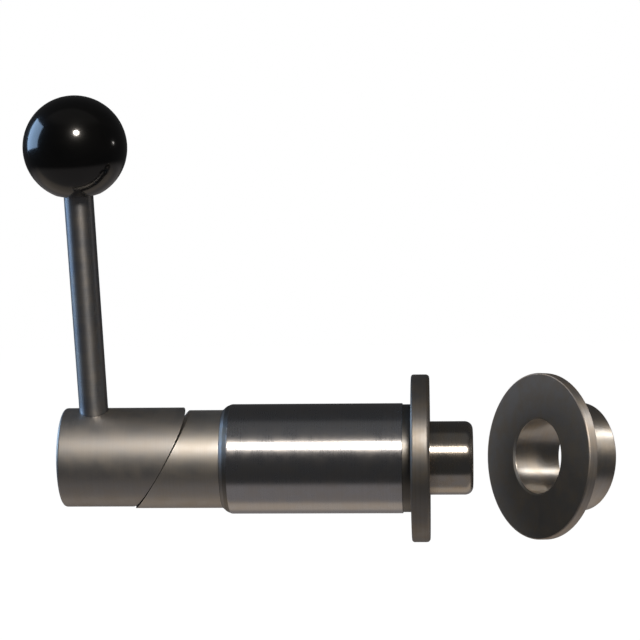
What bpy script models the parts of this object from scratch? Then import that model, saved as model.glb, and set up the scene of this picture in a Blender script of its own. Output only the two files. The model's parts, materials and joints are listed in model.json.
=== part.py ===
"""Lever-operated cam plunger (retractable locating pin) with its receiver bushing.

Metres, +Z up. The plunger's axis is X and the pin points to +X. The origin is the
centre of the flange's rear seat face, the face that stops the housing in its plate.

How it works: the cap on the left turns with the lever. Cap and fixed cam are one tube
cut by a plane at an angle, so turning the cap pushes it away from the cam, and the cap
pulls the stem and the pin back into the housing against the spring.
"""

import math

import bmesh
import bpy
from mathutils import Matrix, Vector

MM = 0.001

# ---------------------------------------------------------------- driving dimensions
GAP = 0.3 * MM            # axial gap between pieces that touch
FIT = 0.15 * MM           # radial gap between a shaft and its hole

# housing
BODY_D = 38.1 * MM        # 1 1/2 in body that goes through the plate
BODY_L = 65.5 * MM        # from the seat face back to the housing's rear end
BODY_CHAMFER_X = 3.0 * MM
BODY_CHAMFER_R = 1.9 * MM
FLANGE_D = 57.94 * MM
FLANGE_T = 6.35 * MM      # 1/4 in
FLANGE_EDGE_X = 1.2 * MM
FLANGE_EDGE_R = 1.6 * MM
RELIEF_W = 3.0 * MM       # grinding relief next to the flange
RELIEF_DEPTH = 0.4 * MM
CHAMBER_D = 31.4 * MM     # spring chamber, open at the rear
BUSH_SEAT_D = 29.4 * MM
SHOULDER_X = -22.0 * MM   # end of the bush seat, where the pin's collar stops

# pin
PIN_D = 25.4 * MM         # 1 in
PIN_TIP_X = 21.2 * MM     # 14.9 mm in front of the flange
PIN_TIP_EDGE = 2.8 * MM
COLLAR_D = 30.8 * MM
COLLAR_T = 4.0 * MM
POCKET_D = 20.4 * MM      # pocket in the pin for the spring
POCKET_X = -8.0 * MM      # bottom of that pocket

# spring
WIRE_D = 1.6 * MM
COIL_D = 17.2 * MM        # mean diameter
COIL_TURNS = 9.5          # 7.5 of them live, about 1.7 N/mm

# fixed cam
CAM_D = 34.1 * MM
CAM_MEAN_X = -86.65 * MM  # where the oblique cut crosses the axis
CUT_AMPLITUDE = 10.27 * MM
CAM_HIGH_DEG = 20.15      # the cam's short side (its low point), from +Z towards -Y
PLUG_D = 31.1 * MM        # spigot inside the housing
PLUG_L = 8.0 * MM
CAM_BORE_D = 18.6 * MM
CAM_SCREW_AZ = (-62.0, -151.0)   # set screws, on the side away from the lever's swing
CAM_SCREW_D = 4.8 * MM
CAM_SCREW_X = -61.0 * MM

# cap
CAP_D = 34.5 * MM
CAP_REAR_X = -121.3 * MM
CAP_EDGE = 1.1 * MM
CAP_LAG_DEG = 9.15        # how far past the closed position the cap stands at rest
CAP_OFFSET_Z = 0.77 * MM  # the cap's outside stands this much above its bore
CAP_BORE_D = 16.6 * MM
CAP_RECESS_D = 19.0 * MM
CAP_RECESS_X = -112.8 * MM
STEM_D = 11.1 * MM
STEM_END_X = -114.1 * MM

# lever
LEVER_X = -110.12 * MM
LEVER_LEAN_DEG = 14.5     # from +Z towards -Y
LEVER_TILT_DEG = 0.7      # its hole is that much off square, towards the rear
ROD_D = 10.0 * MM
ROD_FOOT = 11.3 * MM      # lowest end of the rod, from the plunger's axis
BALL_D = 34.9 * MM        # 1 3/8 in
BALL_H = 110.3 * MM       # centre of the knob, from the plunger's axis
BALL_FLAT_R = 7.6 * MM

# receiver bushing
REC_BORE_D = 25.9 * MM
REC_LEAD = 0.7 * MM
REC_FLANGE_D = 57.94 * MM
REC_FLANGE_T = 3.65 * MM
REC_L = 20.3 * MM
REC_BARREL_D = 38.1 * MM
REC_FACE = Vector((43.37, 5.89, 0.06)) * MM   # centre of its face
REC_YAW_DEG = 34.7        # its axis, turned from +X towards +Y
REC_DROP_DEG = 3.1        # and downwards
REC_CLEAR = 3.0 * MM      # from the pin's tip to its face when it is swung in front

SEG = 48                  # sides of the large turned pieces
SEG_S = 32                # and of the small ones


# ---------------------------------------------------------------- scene and helpers
def clear_scene():
    for obj in list(bpy.data.objects):
        bpy.data.objects.remove(obj, do_unlink=True)


def material(name, colour, roughness, metallic):
    mat = bpy.data.materials.new(name)
    mat.use_nodes = True
    shader = next(n for n in mat.node_tree.nodes if n.type == "BSDF_PRINCIPLED")
    shader.inputs["Base Color"].default_value = (*colour, 1.0)
    shader.inputs["Roughness"].default_value = roughness
    shader.inputs["Metallic"].default_value = metallic
    mat.diffuse_color = (*colour, 1.0)
    return mat


def finish_object(name, bm, mat, smooth=True):
    bmesh.ops.recalc_face_normals(bm, faces=bm.faces)
    mesh = bpy.data.meshes.new(name)
    bm.to_mesh(mesh)
    bm.free()
    mesh.materials.append(mat)
    if smooth:
        mesh.shade_smooth()
        mesh.set_sharp_from_angle(angle=math.radians(32))
    obj = bpy.data.objects.new(name, mesh)
    bpy.context.scene.collection.objects.link(obj)
    return obj


def lathe(profile, sides=SEG):
    """A closed turned solid round X. profile is a closed ring of (x, r) points; a
    point with r = 0 is on the axis."""
    bm = bmesh.new()
    rings = []
    for x, r in profile:
        if r <= 0.0:
            rings.append([bm.verts.new((x, 0.0, 0.0))])
            continue
        ring = []
        for i in range(sides):
            a = 2.0 * math.pi * i / sides
            ring.append(bm.verts.new((x, r * math.cos(a), r * math.sin(a))))
        rings.append(ring)
    count = len(rings)
    for k in range(count):
        a, b = rings[k], rings[(k + 1) % count]
        if len(a) == 1 and len(b) == 1:
            continue
        for i in range(sides):
            j = (i + 1) % sides
            if len(a) == 1:
                bm.faces.new((a[0], b[j], b[i]))
            elif len(b) == 1:
                bm.faces.new((a[i], a[j], b[0]))
            else:
                bm.faces.new((a[i], a[j], b[j], b[i]))
    return bm


def arc(cx, cr, radius, start_deg, end_deg, steps):
    """Points of a fillet in the (x, r) plane."""
    out = []
    for k in range(steps + 1):
        a = math.radians(start_deg + (end_deg - start_deg) * k / steps)
        out.append((cx + radius * math.cos(a), cr + radius * math.sin(a)))
    return out


def shear_end(bm, test, mean_x, phase_deg):
    """Turns the flat ring of vertices that test() picks into an oblique plane cut:
    x = mean + amplitude * cos(angle - phase), scaled by radius so it stays a plane."""
    for v in bm.verts:
        if not test(v.co):
            continue
        angle = math.atan2(-v.co.y, v.co.z)
        radius = math.hypot(v.co.y, v.co.z)
        slope = CUT_AMPLITUDE / (CAM_D / 2)
        v.co.x = mean_x + slope * radius * math.cos(angle - math.radians(phase_deg))


def place(obj, location, rotation=None, parent=None):
    matrix = Matrix.Translation(Vector(location))
    if rotation is not None:
        matrix = matrix @ rotation
    obj.matrix_world = matrix
    if parent is not None:
        keep = obj.matrix_world.copy()
        obj.parent = parent
        obj.matrix_parent_inverse = parent.matrix_world.inverted()
        obj.matrix_world = keep
    return obj


def pivot(name, location, parent=None):
    empty = bpy.data.objects.new(name, None)
    empty.empty_display_size = 0.01
    bpy.context.scene.collection.objects.link(empty)
    empty.location = location
    bpy.context.view_layer.update()
    if parent is not None:
        empty.parent = parent
        empty.matrix_parent_inverse = parent.matrix_world.inverted()
    return empty


def cut(target, cutter):
    cutter.hide_render = True
    cutter.display_type = "WIRE"
    modifier = target.modifiers.new("cut", "BOOLEAN")
    modifier.operation = "DIFFERENCE"
    modifier.solver = "EXACT"
    modifier.object = cutter


def radial_matrix(x, azimuth_deg):
    """A frame whose +X points outwards, square to the plunger's axis, at an azimuth
    counted from +Z towards -Y."""
    a = math.radians(azimuth_deg)
    outward = Vector((0.0, -math.sin(a), math.cos(a)))
    side = Vector((1.0, 0.0, 0.0))
    third = outward.cross(side)
    rot = Matrix((outward, side, third)).transposed().to_4x4()
    return Matrix.Translation(Vector((x, 0.0, 0.0))) @ rot


def lever_matrix():
    """The lever's own frame: +X runs up the rod from the plunger's axis."""
    tilt = Matrix.Rotation(-math.radians(LEVER_TILT_DEG), 4, "Z")
    return radial_matrix(LEVER_X, LEVER_LEAN_DEG) @ tilt


def receiver_matrix():
    yaw, drop = math.radians(REC_YAW_DEG), math.radians(REC_DROP_DEG)
    along = Vector(
        (math.cos(yaw) * math.cos(drop), math.sin(yaw) * math.cos(drop), -math.sin(drop))
    )
    side = Vector((0.0, 0.0, 1.0)).cross(along).normalized()
    up = along.cross(side)
    rot = Matrix((along, side, up)).transposed().to_4x4()
    return Matrix.Translation(REC_FACE) @ rot


def receiver_hinge():
    """Centre of the one turn that takes the bushing's face from where it stands to
    square in front of the pin, REC_CLEAR away from its tip."""
    ahead = Vector((1.0, 0.0, 0.0))
    along = (receiver_matrix().to_3x3() @ ahead).normalized()
    start, end = REC_FACE, Vector((PIN_TIP_X + REC_CLEAR, 0.0, 0.0))
    step = end - start
    flat = along.cross(ahead).normalized()
    middle = (along + ahead).normalized()
    tilt = math.atan2(-step.dot(flat), step.dot(middle))
    axis = (math.cos(tilt) * flat + math.sin(tilt) * middle).normalized()
    a = along - along.dot(axis) * axis
    b = ahead - ahead.dot(axis) * axis
    turn = math.atan2(axis.dot(a.cross(b)), a.dot(b))
    return (start + end) / 2 + axis.cross(step) / (2 * math.tan(turn / 2))


# ---------------------------------------------------------------- pieces
def make_housing(mats):
    r, fr = BODY_D / 2, FLANGE_D / 2
    rear = -BODY_L
    rc, ra = FLANGE_EDGE_R, FLANGE_EDGE_X
    profile = [
        (rear, CHAMBER_D / 2),
        (rear, r - BODY_CHAMFER_R),
        (rear + BODY_CHAMFER_X * 0.45, r - BODY_CHAMFER_R * 0.38),
        (rear + BODY_CHAMFER_X, r),
        (-RELIEF_W, r),
        (-RELIEF_W, r - RELIEF_DEPTH),
        (0.0, r - RELIEF_DEPTH),
        (0.0, fr - 1.2 * MM),
        (0.25 * MM, fr - 0.4 * MM),
        (0.9 * MM, fr),
        (FLANGE_T - ra, fr),
        (FLANGE_T - ra * 0.35, fr - rc * 0.3),
        (FLANGE_T, fr - rc),
        (FLANGE_T, BUSH_SEAT_D / 2),
        (SHOULDER_X, BUSH_SEAT_D / 2),
        (SHOULDER_X, CHAMBER_D / 2),
    ]
    housing = finish_object("housing_body", lathe(profile), mats["steel_ground"])
    for k, azimuth in enumerate(CAM_SCREW_AZ, 1):
        bm = lathe(
            [
                (-1.0 * MM, 0.0),
                (-1.0 * MM, CAM_SCREW_D / 2),
                (10.0 * MM, CAM_SCREW_D / 2),
                (10.0 * MM, 0.0),
            ],
            SEG_S // 2,
        )
        cutter = finish_object(f"cam_screw_cutter_{k}", bm, mats["steel_ground"], False)
        cutter.matrix_world = radial_matrix(CAM_SCREW_X, azimuth) @ Matrix.Translation(
            Vector((12.5 * MM, 0.0, 0.0))
        )
        cut(housing, cutter)
    return housing


def make_pin_guide_bush(mats):
    outer, inner = BUSH_SEAT_D / 2 - FIT, PIN_D / 2 + FIT
    front, rear = FLANGE_T - 0.1 * MM, SHOULDER_X
    profile = [
        (rear, inner + 0.4 * MM),
        (rear, outer - 0.5 * MM),
        (rear + 0.5 * MM, outer),
        (front, outer),
        (front, inner),
        (rear + 0.4 * MM, inner),
    ]
    return finish_object("pin_guide_bush", lathe(profile), mats["bronze"])


def make_pin(mats):
    r, pr = PIN_D / 2, POCKET_D / 2
    collar_front = SHOULDER_X - GAP
    rear = collar_front - COLLAR_T
    stud = STEM_D / 2 + FIT
    edge = PIN_TIP_EDGE
    profile = [
        (rear, pr),
        (rear, COLLAR_D / 2 - 0.6 * MM),
        (rear + 0.6 * MM, COLLAR_D / 2),
        (collar_front, COLLAR_D / 2),
        (collar_front, r),
    ]
    profile += [
        (x, y) for x, y in reversed(arc(PIN_TIP_X - edge, r - edge, edge, 0, 90, 4))
    ]
    profile += [
        (PIN_TIP_X, 0.0),
        (9.0 * MM, 0.0),
        (9.0 * MM, stud),
        (POCKET_X, stud),
        (POCKET_X, pr),
    ]
    pin = finish_object("plunger_pin", lathe(profile), mats["steel_polished"])
    bm = lathe(
        [
            (-20.0 * MM, 0.0),
            (-20.0 * MM, 2.05 * MM),
            (20.0 * MM, 2.05 * MM),
            (20.0 * MM, 0.0),
        ],
        16,
    )
    cutter = finish_object("roll_pin_cutter_pin", bm, mats["steel_ground"], False)
    cutter.matrix_world = radial_matrix(-3.0 * MM, 0.0)
    cut(pin, cutter)
    return pin


def make_stem(mats):
    r = STEM_D / 2
    thread = 3.15 * MM
    profile = [
        (STEM_END_X, thread),
        (STEM_END_X, r - 0.6 * MM),
        (STEM_END_X + 0.6 * MM, r),
        (8.2 * MM, r),
        (8.7 * MM, r - 0.5 * MM),
        (8.7 * MM, 0.0),
        (STEM_END_X + 17.0 * MM, 0.0),
        (STEM_END_X + 16.0 * MM, thread),
    ]
    stem = finish_object("plunger_stem", lathe(profile, SEG_S), mats["steel_dark"])
    bm = lathe(
        [
            (-20.0 * MM, 0.0),
            (-20.0 * MM, 2.05 * MM),
            (20.0 * MM, 2.05 * MM),
            (20.0 * MM, 0.0),
        ],
        16,
    )
    cutter = finish_object("roll_pin_cutter_stem", bm, mats["steel_ground"], False)
    cutter.matrix_world = radial_matrix(-3.0 * MM, 0.0)
    cut(stem, cutter)
    return stem


def make_roll_pin(mats):
    """A slotted spring pin: a C-shaped tube with its slot on one side."""
    half, outer, inner = 11.9 * MM, 1.88 * MM, 1.1 * MM
    bm = bmesh.new()
    steps = 14
    opening = math.radians(46)
    rings = []
    for x in (-half, half):
        row = []
        for radius in (outer, inner):
            row.append(
                [
                    bm.verts.new((x, radius * math.cos(a), radius * math.sin(a)))
                    for a in (
                        opening / 2 + (2 * math.pi - opening) * i / steps
                        for i in range(steps + 1)
                    )
                ]
            )
        rings.append(row)
    (o0, i0), (o1, i1) = rings
    for k in range(steps):
        bm.faces.new((o0[k], o0[k + 1], o1[k + 1], o1[k]))
        bm.faces.new((i0[k + 1], i0[k], i1[k], i1[k + 1]))
        bm.faces.new((o0[k + 1], o0[k], i0[k], i0[k + 1]))
        bm.faces.new((o1[k], o1[k + 1], i1[k + 1], i1[k]))
    bm.faces.new((o0[0], o1[0], i1[0], i0[0]))
    bm.faces.new((o0[-1], i0[-1], i1[-1], o1[-1]))
    obj = finish_object("stem_roll_pin", bm, mats["steel_dark"])
    obj.matrix_world = radial_matrix(-3.0 * MM, 0.0)
    return obj


def make_spring(mats):
    """A compression spring with closed, slightly flattened end turns, round X."""
    front = POCKET_X - GAP - WIRE_D / 2
    rear = -BODY_L + PLUG_L + 1.8 * MM + 2 * GAP + WIRE_D / 2
    per_turn, sides = 16, 6
    dead = 1.0                       # closed turns at each end
    total = int(COIL_TURNS * per_turn)
    radius = COIL_D / 2

    def along(turn):
        """Axial travel for a turn number: a small pitch on the end turns."""
        live = COIL_TURNS - 2 * dead
        closed = WIRE_D * 1.06
        span = (front - rear) - 2 * closed * dead
        if turn <= dead:
            return closed * turn
        if turn >= COIL_TURNS - dead:
            return closed * dead + span + closed * (turn - COIL_TURNS + dead)
        s = (turn - dead) / live
        return closed * dead + span * s

    bm = bmesh.new()
    rings = []
    points = []
    for k in range(total + 1):
        turn = k / per_turn
        a = 2 * math.pi * turn
        points.append(
            Vector((rear + along(turn), radius * math.cos(a), radius * math.sin(a)))
        )
    for k, p in enumerate(points):
        before, after = points[max(k - 1, 0)], points[min(k + 1, total)]
        tangent = (after - before).normalized()
        out = Vector((0.0, p.y, p.z)).normalized()
        side = tangent.cross(out).normalized()
        out = side.cross(tangent).normalized()
        ring = []
        for i in range(sides):
            a = 2 * math.pi * (i + 0.5) / sides
            ring.append(
                bm.verts.new(
                    p + (out * math.cos(a) + side * math.sin(a)) * (WIRE_D / 2)
                )
            )
        rings.append(ring)
    for a, b in zip(rings, rings[1:]):
        for i in range(sides):
            j = (i + 1) % sides
            bm.faces.new((a[i], a[j], b[j], b[i]))
    bm.faces.new(rings[0])
    bm.faces.new(list(reversed(rings[-1])))
    return finish_object("compression_spring", bm, mats["steel_spring"])


def make_spring_washer(mats):
    rear = -BODY_L + PLUG_L + GAP
    front = rear + 1.8 * MM
    inner, outer = STEM_D / 2 + 0.4 * MM, CHAMBER_D / 2 - 0.4 * MM
    bevel = 0.3 * MM
    profile = [
        (rear, inner),
        (rear, outer - bevel),
        (rear + bevel, outer),
        (front - bevel, outer),
        (front, outer - bevel),
        (front, inner),
    ]
    return finish_object(
        "spring_seat_washer", lathe(profile, SEG_S), mats["steel_ground"]
    )


def make_fixed_cam(mats):
    rear_of_housing = -BODY_L
    bore = CAM_BORE_D / 2
    plug = PLUG_D / 2
    cut_x = -200.0 * MM           # marks the ring that the oblique plane moves
    profile = [
        (cut_x, bore),
        (cut_x, CAM_D / 2),
        (rear_of_housing - GAP, CAM_D / 2),
        (rear_of_housing - GAP, plug),
        (rear_of_housing + PLUG_L - 0.5 * MM, plug),
        (rear_of_housing + PLUG_L, plug - 0.5 * MM),
        (rear_of_housing + PLUG_L, bore),
    ]
    bm = lathe(profile)
    shear_end(bm, lambda co: co.x < -150.0 * MM, CAM_MEAN_X, CAM_HIGH_DEG)
    cam = finish_object("fixed_cam", bm, mats["steel_turned"])
    for k, azimuth in enumerate(CAM_SCREW_AZ, 1):
        bm = lathe(
            [
                (0.0, 0.0),
                (0.0, CAM_SCREW_D / 2),
                (8.0 * MM, CAM_SCREW_D / 2),
                (8.0 * MM, 0.0),
            ],
            16,
        )
        cutter = finish_object(f"cam_dimple_cutter_{k}", bm, mats["steel_ground"], False)
        cutter.matrix_world = radial_matrix(CAM_SCREW_X, azimuth) @ Matrix.Translation(
            Vector((13.0 * MM, 0.0, 0.0))
        )
        cut(cam, cutter)
    return cam


def make_stem_bush(mats):
    """The fixed cam's plain bearing, inside its bore from the plug end back to the
    short side of the oblique cut."""
    outer, inner = CAM_BORE_D / 2 - FIT, STEM_D / 2 + FIT
    front = -BODY_L + PLUG_L - 0.4 * MM
    rear = CAM_MEAN_X + CUT_AMPLITUDE * (CAM_BORE_D / CAM_D) + 0.8 * MM
    bevel = 0.4 * MM
    profile = [
        (rear, inner),
        (rear, outer - bevel),
        (rear + bevel, outer),
        (front - bevel, outer),
        (front, outer - bevel),
        (front, inner),
    ]
    return finish_object("stem_guide_bush", lathe(profile, SEG_S), mats["bronze"])


def make_set_screw(mats, index, azimuth):
    """A cup-point set screw with a hexagon socket, flush with the housing."""
    r = CAM_SCREW_D / 2 - FIT
    foot, head = 13.3 * MM, BODY_D / 2 - 0.35 * MM
    socket_r, socket_depth = 1.25 * MM, 1.9 * MM
    bm = bmesh.new()
    sides = 24

    def ring(x, radius, shape=None):
        out = []
        for i in range(sides):
            a = 2 * math.pi * i / sides
            k = radius
            if shape == "hex":
                b = (a + math.pi / 6) % (math.pi / 3) - math.pi / 6
                k = radius / math.cos(b)
            out.append(bm.verts.new((x, k * math.cos(a), k * math.sin(a))))
        return out

    rings = [
        ring(foot, r - 0.7 * MM),
        ring(foot + 0.7 * MM, r),
        ring(head - 0.3 * MM, r),
        ring(head, r - 0.3 * MM),
        ring(head, socket_r, shape="hex"),
        ring(head - socket_depth, socket_r, shape="hex"),
    ]
    for a, b in zip(rings, rings[1:]):
        for i in range(sides):
            j = (i + 1) % sides
            bm.faces.new((a[i], a[j], b[j], b[i]))
    bm.faces.new(rings[0])
    bm.faces.new(rings[-1])
    obj = finish_object(f"cam_lock_screw_{index}", bm, mats["steel_dark"])
    obj.matrix_world = radial_matrix(CAM_SCREW_X, azimuth)
    return obj


def make_cap(mats, parent):
    """The turning cap: an oblique-cut tube with a bearing bore and a rear recess."""
    r = CAP_D / 2
    mean = cap_mean_x()
    cut_x = 200.0 * MM
    profile = [
        (CAP_REAR_X, CAP_RECESS_D / 2),
        (CAP_REAR_X, r - CAP_EDGE),
        (CAP_REAR_X + CAP_EDGE * 0.35, r - CAP_EDGE * 0.35),
        (CAP_REAR_X + CAP_EDGE, r),
        (cut_x, r),
        (cut_x, CAP_BORE_D / 2),
        (CAP_RECESS_X, CAP_BORE_D / 2),
        (CAP_RECESS_X, CAP_RECESS_D / 2),
    ]
    bm = lathe(profile)
    for v in bm.verts:
        if math.hypot(v.co.y, v.co.z) > 12.0 * MM:
            v.co.z += CAP_OFFSET_Z
    shear_end(bm, lambda co: co.x > 150.0 * MM, mean, CAM_HIGH_DEG + CAP_LAG_DEG)
    cap = finish_object("cam_cap", bm, mats["steel_turned"])
    # the lever's threaded hole, from the outside down to just short of the bore
    bm = lathe(
        [
            (ROD_FOOT - GAP, 0.0),
            (ROD_FOOT - GAP, ROD_D / 2 + FIT),
            (22.0 * MM, ROD_D / 2 + FIT),
            (22.0 * MM, 0.0),
        ],
        SEG_S,
    )
    cutter = finish_object("lever_hole_cutter", bm, mats["steel_ground"], False)
    cutter.matrix_world = lever_matrix()
    cut(cap, cutter)
    place(cap, (0.0, 0.0, 0.0), parent=parent)
    return cap


def cap_mean_x():
    """Where the cap's cut crosses the axis: one point of the two cuts just touches
    (with GAP between them) when the cap is CAP_LAG_DEG past its closed position."""
    lift = 2 * CUT_AMPLITUDE * math.sin(math.radians(CAP_LAG_DEG) / 2)
    return CAM_MEAN_X - lift - GAP


def make_cap_bush(mats, parent):
    outer, inner = CAP_BORE_D / 2 - FIT, STEM_D / 2 + FIT
    rear = CAP_RECESS_X + 0.2 * MM
    front = cap_mean_x() - CUT_AMPLITUDE * (CAP_BORE_D / CAM_D) - 0.8 * MM
    bevel = 0.4 * MM
    profile = [
        (rear, inner),
        (rear, outer - bevel),
        (rear + bevel, outer),
        (front - bevel, outer),
        (front, outer - bevel),
        (front, inner),
    ]
    bush = finish_object("cap_bush", lathe(profile, SEG_S), mats["bronze"])
    return place(bush, (0.0, 0.0, 0.0), parent=parent)


def washer(name, rear, thickness, inner, outer, mat):
    bevel = 0.2 * MM
    profile = [
        (rear, inner),
        (rear, outer - bevel),
        (rear + bevel, outer),
        (rear + thickness - bevel, outer),
        (rear + thickness, outer - bevel),
        (rear + thickness, inner),
    ]
    return finish_object(name, lathe(profile, SEG_S), mat)


def make_retainers(mats):
    """Thrust washer, then retaining washer and cap screw, on the stem's rear end."""
    thrust = washer(
        "cap_thrust_washer",
        CAP_RECESS_X - GAP - 1.0 * MM,
        1.0 * MM,
        STEM_D / 2 + 0.25 * MM,
        9.2 * MM,
        mats["bronze"],
    )
    rear = CAP_RECESS_X - 2 * GAP - 1.0 * MM - 1.6 * MM
    retaining = washer(
        "retaining_washer", rear, 1.6 * MM, 3.25 * MM, 9.0 * MM, mats["steel_dark"]
    )
    # socket-head cap screw, its head behind the washer
    head_front = rear - GAP
    head_len, head_r, shank_r = 4.4 * MM, 5.0 * MM, 2.95 * MM
    sides = 24
    bm = bmesh.new()

    def ring(x, radius, hexagon=False):
        out = []
        for i in range(sides):
            a = 2 * math.pi * i / sides
            k = radius
            if hexagon:
                b = (a + math.pi / 6) % (math.pi / 3) - math.pi / 6
                k = radius / math.cos(b)
            out.append(bm.verts.new((x, k * math.cos(a), k * math.sin(a))))
        return out

    rings = [
        ring(head_front - head_len + 2.4 * MM, 2.5 * MM, True),
        ring(head_front - head_len, 2.5 * MM, True),
        ring(head_front - head_len, head_r - 0.4 * MM),
        ring(head_front - head_len + 0.4 * MM, head_r),
        ring(head_front, head_r),
        ring(head_front, shank_r),
        ring(STEM_END_X + 14.0 * MM, shank_r),
        ring(STEM_END_X + 14.8 * MM, shank_r - 0.7 * MM),
    ]
    for a, b in zip(rings, rings[1:]):
        for i in range(sides):
            j = (i + 1) % sides
            bm.faces.new((a[i], a[j], b[j], b[i]))
    bm.faces.new(rings[0])
    bm.faces.new(rings[-1])
    screw = finish_object("retaining_screw", bm, mats["steel_dark"])
    return thrust, retaining, screw


def make_lever(mats, parent):
    r = ROD_D / 2
    top = BALL_H + 3.6 * MM
    rod = finish_object(
        "lever_rod",
        lathe(
            [
                (ROD_FOOT, 0.0),
                (ROD_FOOT, r - 0.5 * MM),
                (ROD_FOOT + 0.5 * MM, r),
                (BALL_H - BALL_D / 2 + 2.6 * MM, r),
                (BALL_H - BALL_D / 2 + 2.6 * MM, 3.9 * MM),
                (top - 0.5 * MM, 3.9 * MM),
                (top, 3.4 * MM),
                (top, 0.0),
            ],
            SEG_S,
        ),
        mats["steel_rod"],
    )
    rod.matrix_world = lever_matrix()
    # brass insert: a closed nut with a flanged foot, moulded into the knob
    seat = BALL_H - BALL_D / 2 + 3.1 * MM
    insert = finish_object(
        "knob_insert",
        lathe(
            [
                (seat, 3.9 * MM + FIT),
                (seat, 6.6 * MM),
                (seat + 12.0 * MM, 6.6 * MM),
                (seat + 12.0 * MM, 5.9 * MM),
                (seat + 14.5 * MM, 5.9 * MM),
                (seat + 14.5 * MM, 6.6 * MM),
                (top + 2.2 * MM, 6.6 * MM),
                (top + 2.2 * MM, 0.0),
                (top + 0.4 * MM, 0.0),
                (top + 0.4 * MM, 3.9 * MM + FIT),
            ],
            24,
        ),
        mats["brass"],
    )
    insert.matrix_world = lever_matrix()
    # the ball, with a small flat and a stepped hole under it
    ball_r = BALL_D / 2
    flat = math.sqrt(ball_r**2 - BALL_FLAT_R**2)
    start = math.degrees(math.acos(-flat / ball_r))
    profile = [(x, y) for x, y in arc(BALL_H, 0.0, ball_r, start, 6.0, 15)]
    profile += [
        (BALL_H + ball_r, 0.0),
        (top + 2.5 * MM, 0.0),
        (top + 2.5 * MM, 6.6 * MM + FIT),
        (seat - 0.1 * MM, 6.6 * MM + FIT),
        (seat - 0.1 * MM, r + 0.25 * MM),
        (BALL_H - flat, r + 0.25 * MM),
    ]
    ball = finish_object("ball_knob", lathe(profile, 40), mats["phenolic"])
    ball.matrix_world = lever_matrix()
    for obj in (rod, insert, ball):
        keep = obj.matrix_world.copy()
        obj.parent = parent
        obj.matrix_parent_inverse = parent.matrix_world.inverted()
        obj.matrix_world = keep


def make_receiver(mats, parent):
    """Profile along the bushing's own axis: 0 at the face, + into the barrel."""
    bore, fr, br = REC_BORE_D / 2, REC_FLANGE_D / 2, REC_BARREL_D / 2
    t, total = REC_FLANGE_T, REC_L
    profile = [
        (0.0, bore + REC_LEAD),
        (0.0, fr - 0.5 * MM),
        (0.5 * MM, fr),
        (t - 0.5 * MM, fr),
        (t, fr - 0.5 * MM),
        (t, br),
        (total - 1.2 * MM, br),
        (total, br - 0.9 * MM),
        (total, bore + 0.5 * MM),
        (total - 0.5 * MM, bore),
        (REC_LEAD, bore),
    ]
    bm = lathe([(x, y) for x, y in reversed(profile)])
    receiver = finish_object("receiver_bushing", bm, mats["steel_blued"])
    receiver.matrix_world = receiver_matrix()
    keep = receiver.matrix_world.copy()
    receiver.parent = parent
    receiver.matrix_parent_inverse = parent.matrix_world.inverted()
    receiver.matrix_world = keep
    return receiver


def main():
    clear_scene()
    mats = {
        "steel_ground": material("steel_ground", (0.36, 0.35, 0.35), 0.14, 1.0),
        "steel_polished": material("steel_polished", (0.42, 0.40, 0.38), 0.10, 1.0),
        "steel_turned": material("steel_turned", (0.42, 0.40, 0.38), 0.38, 1.0),
        "steel_blued": material("steel_blued", (0.20, 0.21, 0.22), 0.36, 1.0),
        "steel_dark": material("steel_dark", (0.09, 0.09, 0.10), 0.42, 1.0),
        "steel_spring": material("steel_spring", (0.24, 0.24, 0.26), 0.30, 1.0),
        "steel_rod": material("steel_rod", (0.21, 0.21, 0.22), 0.34, 1.0),
        "bronze": material("bronze", (0.55, 0.36, 0.17), 0.34, 1.0),
        "brass": material("brass", (0.70, 0.52, 0.22), 0.30, 1.0),
        "phenolic": material("phenolic", (0.012, 0.011, 0.012), 0.12, 0.0),
    }
    slide = pivot("plunger_slide_pivot", (0.0, 0.0, 0.0))
    turn = pivot("handle_turn_pivot", (LEVER_X, 0.0, 0.0), slide)
    swing = pivot("receiver_swing_pivot", receiver_hinge())
    make_housing(mats)
    make_pin_guide_bush(mats)
    make_fixed_cam(mats)
    make_stem_bush(mats)
    for index, azimuth in enumerate(CAM_SCREW_AZ, 1):
        make_set_screw(mats, index, azimuth)
    make_spring_washer(mats)
    make_spring(mats)
    sliding = [make_pin(mats), make_stem(mats), make_roll_pin(mats)]
    sliding += list(make_retainers(mats))
    bpy.context.view_layer.update()
    for obj in sliding:
        keep = obj.matrix_world.copy()
        obj.parent = slide
        obj.matrix_parent_inverse = slide.matrix_world.inverted()
        obj.matrix_world = keep
    make_cap(mats, turn)
    make_cap_bush(mats, turn)
    make_lever(mats, turn)
    make_receiver(mats, swing)
    bpy.context.view_layer.update()


main()
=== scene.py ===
"""Looks of the lever-operated cam plunger and its receiver bushing.

Every turned piece is made again as a fine turned surface with real fillets, chamfers,
sockets and knurls, on the same dimensions as the CAD pieces, and rides on their bodies.
"""

import json
import math

import bmesh
import bpy
from mathutils import Matrix, Vector

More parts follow.
